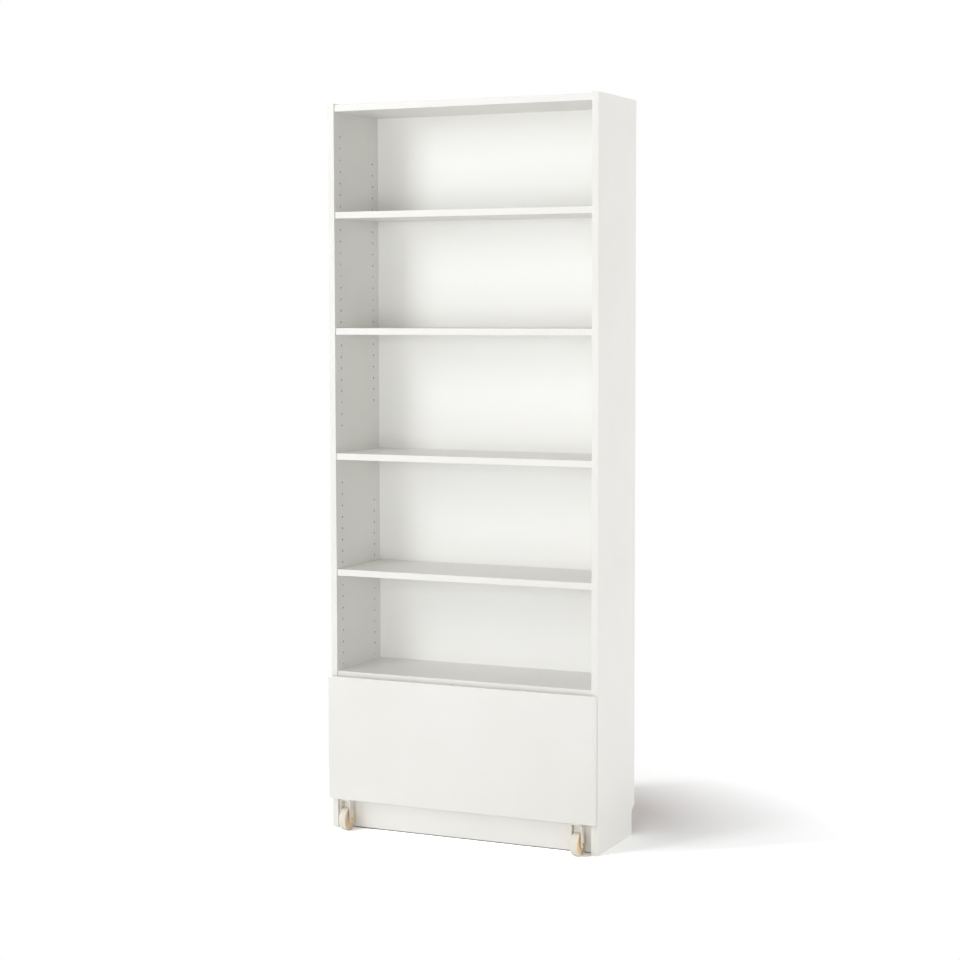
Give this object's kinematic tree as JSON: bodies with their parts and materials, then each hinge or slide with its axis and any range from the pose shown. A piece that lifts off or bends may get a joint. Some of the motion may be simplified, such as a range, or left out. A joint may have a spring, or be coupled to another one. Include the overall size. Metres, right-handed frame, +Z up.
{
  "type": "bookcase with drawer",
  "caption": "Tall narrow white bookcase with pin-hung shelves, a thin back, and one wide full-front drawer that rolls out on wooden casters.",
  "frame": {"origin": "on the floor, under the middle of the whole object with the drawer closed", "axes": "+Z up, +X to the right as seen from the front, -Y towards the front, where the drawer pulls out"},
  "size_m": [0.8, 0.3235, 2.02],
  "materials": {
    "white_board": "white foil on chipboard, satin",
    "white_hardboard": "white printed hardboard, satin",
    "birch": "clear lacquered turned birch",
    "pale_rubber": "smooth cream rubber that leaves no marks",
    "painted_steel": "off-white enamel on bent strip",
    "zinc_steel": "bright zinc plate",
    "cast_zinc": "plain die-cast zinc",
    "beech": "unfinished fluted beech",
    "grey_plastic": "plain moulded grey",
    "clear_rubber": "soft self-adhesive pads"
  },
  "bodies": {
    "case": {"side_panel_left": "white_board", "side_panel_right": "white_board", "top_panel": "white_board", "shelf_upper": "white_board", "shelf_second": "white_board", "shelf_fixed_middle": "white_board", "shelf_lower": "white_board", "shelf_over_drawer": "white_board", "base_panel": "white_board", "plinth_board": "white_board", "back_panel_upper": "white_hardboard", "back_panel_lower": "white_hardboard", "shelf_pins_upper": "zinc_steel", "shelf_pins_second": "zinc_steel", "shelf_pins_lower": "zinc_steel", "case_cam_bolts": "zinc_steel", "case_cam_locks": "cast_zinc", "case_dowels": "beech", "plinth_dowels": "beech", "back_nails": "zinc_steel", "roller_stop_left": "grey_plastic", "roller_stop_right": "grey_plastic", "roller_stop_screws": "zinc_steel"},
    "drawer": {"drawer_front": "white_board", "drawer_side_left": "white_board", "drawer_side_right": "white_board", "drawer_back": "white_board", "drawer_bottom": "white_hardboard", "drawer_cam_bolts": "zinc_steel", "drawer_cam_locks": "cast_zinc", "drawer_dowels": "beech", "drawer_back_screws": "zinc_steel", "drawer_bottom_nails": "zinc_steel", "front_buffers": "clear_rubber", "caster_fork_left": "painted_steel", "caster_fork_right": "painted_steel", "caster_fork_screws": "zinc_steel", "caster_axles": "zinc_steel", "rear_roller_bracket_left": "zinc_steel", "rear_roller_bracket_right": "zinc_steel", "rear_roller_studs": "zinc_steel", "rear_roller_screws": "zinc_steel"},
    "caster_left": {"caster_wheel_left": "birch", "caster_tyre_left": "pale_rubber", "caster_bush_left": "grey_plastic"},
    "caster_right": {"caster_wheel_right": "birch", "caster_tyre_right": "pale_rubber", "caster_bush_right": "grey_plastic"},
    "roller_left": {"rear_roller_left": "grey_plastic"},
    "roller_right": {"rear_roller_right": "grey_plastic"}
  },
  "joints": [
    {"name": "drawer_slide", "type": "slide", "parent": "case", "child": "drawer", "axis": [0, -1, 0], "range_m": [0, 0.2]},
    {"name": "caster_spin_left", "type": "hinge", "parent": "drawer", "child": "caster_left", "pos_m": [-0.348, -0.13025, 0.0315], "axis": [1, 0, 0], "continuous": true},
    {"name": "caster_spin_right", "type": "hinge", "parent": "drawer", "child": "caster_right", "pos_m": [0.348, -0.13025, 0.0315], "axis": [1, 0, 0], "continuous": true},
    {"name": "roller_spin_left", "type": "hinge", "parent": "drawer", "child": "roller_left", "pos_m": [-0.3577, 0.11675, 0.1073], "axis": [1, 0, 0], "continuous": true},
    {"name": "roller_spin_right", "type": "hinge", "parent": "drawer", "child": "roller_right", "pos_m": [0.3577, 0.11675, 0.1073], "axis": [1, 0, 0], "continuous": true}
  ]
}
